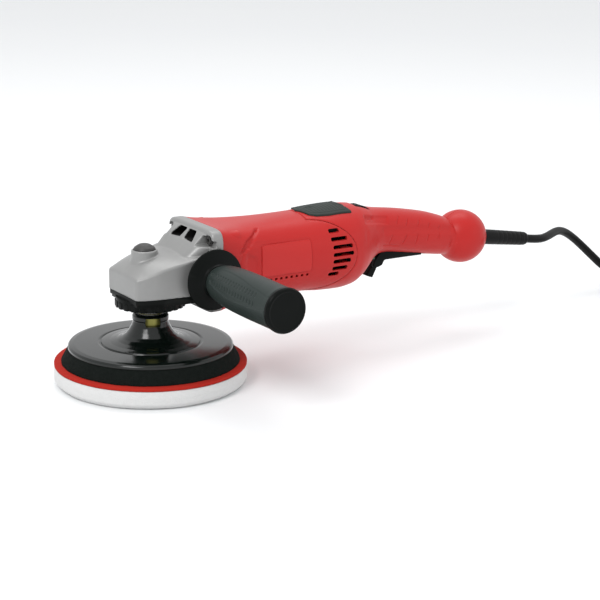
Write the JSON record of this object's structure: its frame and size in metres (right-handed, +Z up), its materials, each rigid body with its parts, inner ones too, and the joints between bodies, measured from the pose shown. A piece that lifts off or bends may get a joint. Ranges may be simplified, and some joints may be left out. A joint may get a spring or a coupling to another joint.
{
  "type": "rotary polisher",
  "caption": "Right-angle corded polisher: foam pad on a hook-and-loop plate, cast gear head, moulded motor housing, side handle, paddle switch and ball-ended rear grip.",
  "frame": {"origin": "centre of the polishing pad's working face, on the spindle's axis", "axes": "+Z up the spindle, away from the work; +X from the spindle towards the rear handle; -Y towards the side handle"},
  "size_m": [0.725, 0.2315, 0.1319],
  "materials": {
    "cast_alloy": "fine bead-blasted casting, satin",
    "machined_alloy": "machined",
    "red_plastic": "fine moulded texture, semi-matt",
    "red_badge": "smooth blank label",
    "black_plastic": "moulded glass-filled plastic",
    "plate_plastic": "glossy moulded plastic",
    "button_plastic": "satin plastic",
    "white_plastic": "matt",
    "grip_rubber": "soft overmould, matt",
    "side_grip_rubber": "soft sleeve, satin",
    "cord_rubber": "extruded sheath, satin",
    "black_foam": "coarse open foam",
    "red_hook": "woven hook tape",
    "white_foam": "fine open-cell foam",
    "steel": "ground",
    "black_steel": "blackened",
    "gear_steel": "cut and hardened",
    "lamination_steel": "stacked sheet",
    "copper": "enamelled wire",
    "brass": "turned",
    "carbon": "pressed carbon",
    "potting": "potted circuit",
    "tie_plastic": "hook-and-loop strap",
    "chrome": "nickel plated"
  },
  "bodies": {
    "housing": {"gear_head": "cast_alloy", "gear_case_screws": "black_steel", "bearing_plate": "black_plastic", "motor_housing": "red_plastic", "handle_left": "red_plastic", "handle_right": "red_plastic", "handle_screws": "steel", "top_grip_pad": "grip_rubber", "badge_plate": "red_badge", "stator_core": "lamination_steel", "stator_windings": "copper", "fan_baffle": "black_plastic", "bearing_bracket": "machined_alloy", "brush_holders": "brass", "carbon_brushes": "carbon", "brush_springs": "steel", "shaft_bearing_outer": "steel", "spindle_bearing_outer": "steel", "ring_gear": "gear_steel", "switch_body": "black_plastic", "speed_module": "potting", "cable_clamp": "black_plastic", "clamp_screws": "steel", "strain_relief": "cord_rubber", "supply_lead": "cord_rubber", "side_flange": "black_plastic", "side_grip": "side_grip_rubber", "side_stud": "steel", "lock_spring": "steel", "paddle_pin": "steel", "cord_run": "cord_rubber", "cord_coil": "cord_rubber", "cord_tie": "tie_plastic", "plug_body": "cord_rubber", "plug_pins": "chrome"},
    "spindle": {"spindle": "steel", "bevel_gear": "gear_steel", "spindle_bearing_inner": "steel", "hub_insert": "brass", "backing_plate": "plate_plastic", "cushion_foam": "black_foam", "hook_disc": "red_hook", "polishing_pad": "white_foam"},
    "armature": {"armature_shaft": "steel", "armature_core": "lamination_steel", "armature_windings": "copper", "commutator": "copper", "fan": "black_plastic", "armature_bearing_inner": "steel"},
    "carrier": {"carrier": "gear_steel", "carrier_bearing_inner": "steel"},
    "planet_1": {"planet_1": "gear_steel"},
    "planet_2": {"planet_2": "gear_steel"},
    "planet_3": {"planet_3": "gear_steel"},
    "lock_button": {"lock_button": "button_plastic", "lock_pin": "steel"},
    "paddle": {"paddle": "button_plastic"},
    "lock_off": {"lock_off_lever": "button_plastic"},
    "plunger": {"switch_plunger": "white_plastic"},
    "speed_dial": {"speed_dial": "button_plastic"}
  },
  "joints": [
    {"name": "spindle_spin", "type": "hinge", "parent": "housing", "child": "spindle", "pos_m": [0, 0, 0.05], "axis": [0, 0, 1], "continuous": true},
    {"name": "armature_spin", "type": "hinge", "parent": "housing", "child": "armature", "pos_m": [0.11, 0, 0.094], "axis": [1, 0, 0], "continuous": true},
    {"name": "carrier_spin", "type": "hinge", "parent": "housing", "child": "carrier", "pos_m": [0.03, 0, 0.094], "axis": [1, 0, 0], "continuous": true},
    {"name": "planet_1_spin", "type": "hinge", "parent": "carrier", "child": "planet_1", "pos_m": [0.042, 0, 0.1048], "axis": [1, 0, 0], "continuous": true},
    {"name": "planet_2_spin", "type": "hinge", "parent": "carrier", "child": "planet_2", "pos_m": [0.042, -0.00935, 0.0886], "axis": [1, 0, 0], "continuous": true},
    {"name": "planet_3_spin", "type": "hinge", "parent": "carrier", "child": "planet_3", "pos_m": [0.042, 0.00935, 0.0886], "axis": [1, 0, 0], "continuous": true},
    {"name": "lock_press", "type": "slide", "parent": "housing", "child": "lock_button", "axis": [0, 0, -1], "range_m": [0, 0.004], "stiffness_N_per_m": 900, "springref_m": -0.003, "deforming": ["lock_spring"]},
    {"name": "paddle_pull", "type": "hinge", "parent": "housing", "child": "paddle", "pos_m": [0.266, 0, 0.084], "axis": [0, 1, 0], "range_deg": [0, 6], "stiffness_Nm_per_rad": 3, "springref_deg": -3.44},
    {"name": "plunger_lift", "type": "slide", "parent": "housing", "child": "plunger", "axis": [0, 0, 1], "range_m": [0, 0.0032]},
    {"name": "lock_off_swing", "type": "hinge", "parent": "paddle", "child": "lock_off", "pos_m": [0.226, 0, 0.074], "axis": [0, -1, 0], "range_deg": [0, 30], "stiffness_Nm_per_rad": 0.05, "springref_deg": -17.19},
    {"name": "speed_dial_turn", "type": "hinge", "parent": "housing", "child": "speed_dial", "pos_m": [0.205, 0, 0.1185], "axis": [0, 1, 0], "range_deg": [0, 300]}
  ],
  "couplings": [
    {"joint": "armature_spin", "follows": "spindle_spin", "ratio": 12},
    {"joint": "carrier_spin", "follows": "spindle_spin", "ratio": 3},
    {"joint": "planet_1_spin", "follows": "spindle_spin", "ratio": -9},
    {"joint": "planet_2_spin", "follows": "spindle_spin", "ratio": -9},
    {"joint": "planet_3_spin", "follows": "spindle_spin", "ratio": -9},
    {"joint": "plunger_lift", "follows": "paddle_pull", "m_per_rad": 0.0286}
  ]
}
